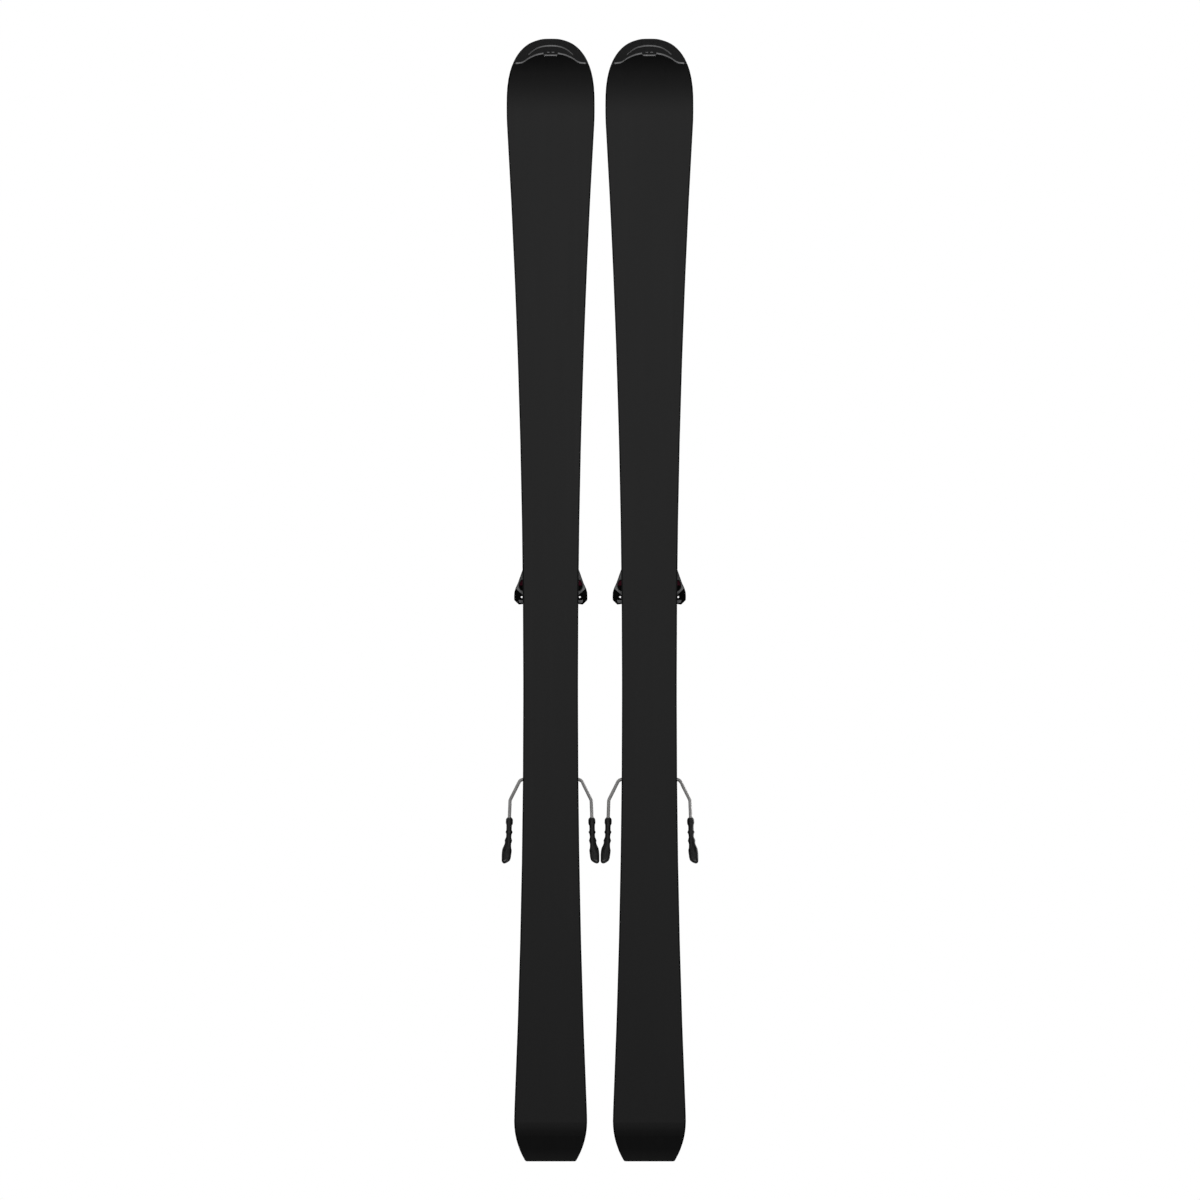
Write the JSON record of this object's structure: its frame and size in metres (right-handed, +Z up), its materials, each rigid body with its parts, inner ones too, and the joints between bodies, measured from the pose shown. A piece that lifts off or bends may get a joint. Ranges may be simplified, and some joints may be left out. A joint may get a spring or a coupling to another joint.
{
  "type": "alpine skis with bindings",
  "caption": "Pair of carving skis with shaped tips, steel edges and rail-mounted step-in bindings with sprung ski brakes.",
  "frame": {"origin": "middle of the pair's bounding box, at the level the lowered brake feet stand on", "axes": "+Y to the ski tips, +Z up from the running bases to the bindings, +X to the skier's right-hand ski"},
  "size_m": [0.2794, 1.6, 0.178],
  "materials": {
    "running_base": "sintered base, fine stone-ground structure",
    "edge_steel": "ground carbon steel",
    "laminate": "sheet alloy",
    "core_wood": "laminated light wood",
    "sidewall_plastic": "satin black sidewall",
    "topsheet_plastic": "satin black printed sheet with clear coat",
    "cap_plastic": "satin moulded black",
    "rail_plastic": "glass-filled moulded black",
    "fastener_steel": "zinc plated",
    "spring_steel": "drawn wire",
    "housing_plastic": "satin moulded black",
    "wing_plastic": "satin moulded black",
    "pointer_plastic": "yellow indicator",
    "slide_plastic": "low-friction grey",
    "accent_plastic": "dark red",
    "cup_plastic": "moulded black",
    "lever_plastic": "satin moulded black",
    "foot_plastic": "moulded black",
    "pedal_plastic": "moulded dark grey"
  },
  "bodies": {
    "left_ski": {"left_base_sheet": "running_base", "left_steel_edges": "edge_steel", "left_lower_laminate": "laminate", "left_wood_core": "core_wood", "left_sidewalls": "sidewall_plastic", "left_upper_laminate": "laminate", "left_topsheet": "topsheet_plastic", "left_tip_cap": "cap_plastic", "left_binding_rail": "rail_plastic", "left_rail_screws": "fastener_steel", "left_toe_body": "housing_plastic", "left_wing_pins": "fastener_steel", "left_toe_spring": "spring_steel"},
    "left_toe_wing_left": {"left_toe_wing_left": "wing_plastic"},
    "left_toe_wing_right": {"left_toe_wing_right": "wing_plastic"},
    "left_toe_setting_screw": {"left_toe_setting_screw": "fastener_steel"},
    "left_toe_setting_pointer": {"left_toe_setting_pointer": "pointer_plastic"},
    "left_afd_slide_plate": {"left_afd_slide_plate": "slide_plastic"},
    "left_heel_carriage": {"left_heel_carriage": "rail_plastic", "left_heel_pins": "fastener_steel", "left_brake_base": "rail_plastic"},
    "left_length_lock_lever": {"left_length_lock_lever": "accent_plastic"},
    "left_heel_housing": {"left_heel_housing": "housing_plastic", "left_heel_cup": "cup_plastic", "left_heel_spring": "spring_steel"},
    "left_heel_lever": {"left_heel_lever": "lever_plastic"},
    "left_heel_setting_screw": {"left_heel_setting_screw": "fastener_steel"},
    "left_brake_arms": {"left_brake_arms": "spring_steel", "left_brake_feet": "foot_plastic"},
    "left_brake_pedal": {"left_brake_pedal": "pedal_plastic"},
    "right_ski": {"right_base_sheet": "running_base", "right_steel_edges": "edge_steel", "right_lower_laminate": "laminate", "right_wood_core": "core_wood", "right_sidewalls": "sidewall_plastic", "right_upper_laminate": "laminate", "right_topsheet": "topsheet_plastic", "right_tip_cap": "cap_plastic", "right_binding_rail": "rail_plastic", "right_rail_screws": "fastener_steel", "right_toe_body": "housing_plastic", "right_wing_pins": "fastener_steel", "right_toe_spring": "spring_steel"},
    "right_toe_wing_left": {"right_toe_wing_left": "wing_plastic"},
    "right_toe_wing_right": {"right_toe_wing_right": "wing_plastic"},
    "right_toe_setting_screw": {"right_toe_setting_screw": "fastener_steel"},
    "right_toe_setting_pointer": {"right_toe_setting_pointer": "pointer_plastic"},
    "right_afd_slide_plate": {"right_afd_slide_plate": "slide_plastic"},
    "right_heel_carriage": {"right_heel_carriage": "rail_plastic", "right_heel_pins": "fastener_steel", "right_brake_base": "rail_plastic"},
    "right_length_lock_lever": {"right_length_lock_lever": "accent_plastic"},
    "right_heel_housing": {"right_heel_housing": "housing_plastic", "right_heel_cup": "cup_plastic", "right_heel_spring": "spring_steel"},
    "right_heel_lever": {"right_heel_lever": "lever_plastic"},
    "right_heel_setting_screw": {"right_heel_setting_screw": "fastener_steel"},
    "right_brake_arms": {"right_brake_arms": "spring_steel", "right_brake_feet": "foot_plastic"},
    "right_brake_pedal": {"right_brake_pedal": "pedal_plastic"}
  },
  "joints": [
    {"name": "left_toe_wing_left_release", "type": "hinge", "parent": "left_ski", "child": "left_toe_wing_left", "pos_m": [-0.08825, 0.062, 0.10963], "axis": [0, 0, -1], "range_deg": [0, 30], "stiffness_Nm_per_rad": 4, "springref_deg": -20.05},
    {"name": "left_toe_wing_right_release", "type": "hinge", "parent": "left_ski", "child": "left_toe_wing_right", "pos_m": [-0.05225, 0.062, 0.10963], "axis": [0, 0, 1], "range_deg": [0, 30], "stiffness_Nm_per_rad": 4, "springref_deg": -20.05},
    {"name": "left_toe_screw_turn", "type": "hinge", "parent": "left_ski", "child": "left_toe_setting_screw", "pos_m": [-0.07025, 0.092, 0.10963], "axis": [0, 1, 0], "range_deg": [-1440, 1440]},
    {"name": "left_toe_pointer_slide", "type": "slide", "parent": "left_ski", "child": "left_toe_setting_pointer", "axis": [0, 1, 0], "range_m": [-0.005, 0.005]},
    {"name": "left_afd_slide", "type": "slide", "parent": "left_ski", "child": "left_afd_slide_plate", "axis": [1, 0, 0], "range_m": [-0.006, 0.006], "stiffness_N_per_m": 1500},
    {"name": "left_heel_carriage_slide", "type": "slide", "parent": "left_ski", "child": "left_heel_carriage", "axis": [0, 1, 0], "range_m": [-0.02, 0.02]},
    {"name": "left_length_lock_lift", "type": "hinge", "parent": "left_heel_carriage", "child": "left_length_lock_lever", "pos_m": [-0.07025, -0.184, 0.08363], "axis": [1, 0, 0], "range_deg": [0, 60]},
    {"name": "left_heel_opening", "type": "hinge", "parent": "left_heel_carriage", "child": "left_heel_housing", "pos_m": [-0.07025, -0.352, 0.09963], "axis": [1, 0, 0], "range_deg": [0, 40], "stiffness_Nm_per_rad": 5, "springref_deg": -34.38},
    {"name": "left_heel_lever_press", "type": "hinge", "parent": "left_heel_housing", "child": "left_heel_lever", "pos_m": [-0.07025, -0.338, 0.12562], "axis": [1, 0, 0], "range_deg": [0, 14]},
    {"name": "left_heel_screw_turn", "type": "hinge", "parent": "left_heel_housing", "child": "left_heel_setting_screw", "pos_m": [-0.07025, -0.385, 0.11563], "axis": [0, 1, 0], "range_deg": [-1440, 1440]},
    {"name": "left_brake_lift", "type": "hinge", "parent": "left_heel_carriage", "child": "left_brake_arms", "pos_m": [-0.07025, -0.254, 0.08712], "axis": [-1, 0, 0], "range_deg": [0, 38], "stiffness_Nm_per_rad": 2, "springref_deg": -143.24},
    {"name": "left_brake_pedal_press", "type": "hinge", "parent": "left_heel_carriage", "child": "left_brake_pedal", "pos_m": [-0.07025, -0.195, 0.08662], "axis": [1, 0, 0], "range_deg": [0, 21]},
    {"name": "right_toe_wing_left_release", "type": "hinge", "parent": "right_ski", "child": "right_toe_wing_left", "pos_m": [0.05225, 0.062, 0.10963], "axis": [0, 0, -1], "range_deg": [0, 30], "stiffness_Nm_per_rad": 4, "springref_deg": -20.05},
    {"name": "right_toe_wing_right_release", "type": "hinge", "parent": "right_ski", "child": "right_toe_wing_right", "pos_m": [0.08825, 0.062, 0.10963], "axis": [0, 0, 1], "range_deg": [0, 30], "stiffness_Nm_per_rad": 4, "springref_deg": -20.05},
    {"name": "right_toe_screw_turn", "type": "hinge", "parent": "right_ski", "child": "right_toe_setting_screw", "pos_m": [0.07025, 0.092, 0.10963], "axis": [0, 1, 0], "range_deg": [-1440, 1440]},
    {"name": "right_toe_pointer_slide", "type": "slide", "parent": "right_ski", "child": "right_toe_setting_pointer", "axis": [0, 1, 0], "range_m": [-0.005, 0.005]},
    {"name": "right_afd_slide", "type": "slide", "parent": "right_ski", "child": "right_afd_slide_plate", "axis": [1, 0, 0], "range_m": [-0.006, 0.006], "stiffness_N_per_m": 1500},
    {"name": "right_heel_carriage_slide", "type": "slide", "parent": "right_ski", "child": "right_heel_carriage", "axis": [0, 1, 0], "range_m": [-0.02, 0.02]},
    {"name": "right_length_lock_lift", "type": "hinge", "parent": "right_heel_carriage", "child": "right_length_lock_lever", "pos_m": [0.07025, -0.184, 0.08363], "axis": [1, 0, 0], "range_deg": [0, 60]},
    {"name": "right_heel_opening", "type": "hinge", "parent": "right_heel_carriage", "child": "right_heel_housing", "pos_m": [0.07025, -0.352, 0.09963], "axis": [1, 0, 0], "range_deg": [0, 40], "stiffness_Nm_per_rad": 5, "springref_deg": -34.38},
    {"name": "right_heel_lever_press", "type": "hinge", "parent": "right_heel_housing", "child": "right_heel_lever", "pos_m": [0.07025, -0.338, 0.12562], "axis": [1, 0, 0], "range_deg": [0, 14]},
    {"name": "right_heel_screw_turn", "type": "hinge", "parent": "right_heel_housing", "child": "right_heel_setting_screw", "pos_m": [0.07025, -0.385, 0.11563], "axis": [0, 1, 0], "range_deg": [-1440, 1440]},
    {"name": "right_brake_lift", "type": "hinge", "parent": "right_heel_carriage", "child": "right_brake_arms", "pos_m": [0.07025, -0.254, 0.08712], "axis": [-1, 0, 0], "range_deg": [0, 38], "stiffness_Nm_per_rad": 2, "springref_deg": -143.24},
    {"name": "right_brake_pedal_press", "type": "hinge", "parent": "right_heel_carriage", "child": "right_brake_pedal", "pos_m": [0.07025, -0.195, 0.08662], "axis": [1, 0, 0], "range_deg": [0, 21]},
    {"name": "ski_spacing", "type": "slide", "parent": "left_ski", "child": "right_ski", "axis": [1, 0, 0], "range_m": [0, 0.2]}
  ],
  "couplings": [
    {"joint": "left_toe_pointer_slide", "follows": "left_toe_screw_turn", "m_per_rad": 0.00019894},
    {"joint": "left_heel_lever_press", "follows": "left_heel_opening", "ratio": 0.35},
    {"joint": "left_brake_pedal_press", "follows": "left_brake_lift", "ratio": 0.55263},
    {"joint": "right_toe_pointer_slide", "follows": "right_toe_screw_turn", "m_per_rad": 0.00019894},
    {"joint": "right_heel_lever_press", "follows": "right_heel_opening", "ratio": 0.35},
    {"joint": "right_brake_pedal_press", "follows": "right_brake_lift", "ratio": 0.55263}
  ]
}
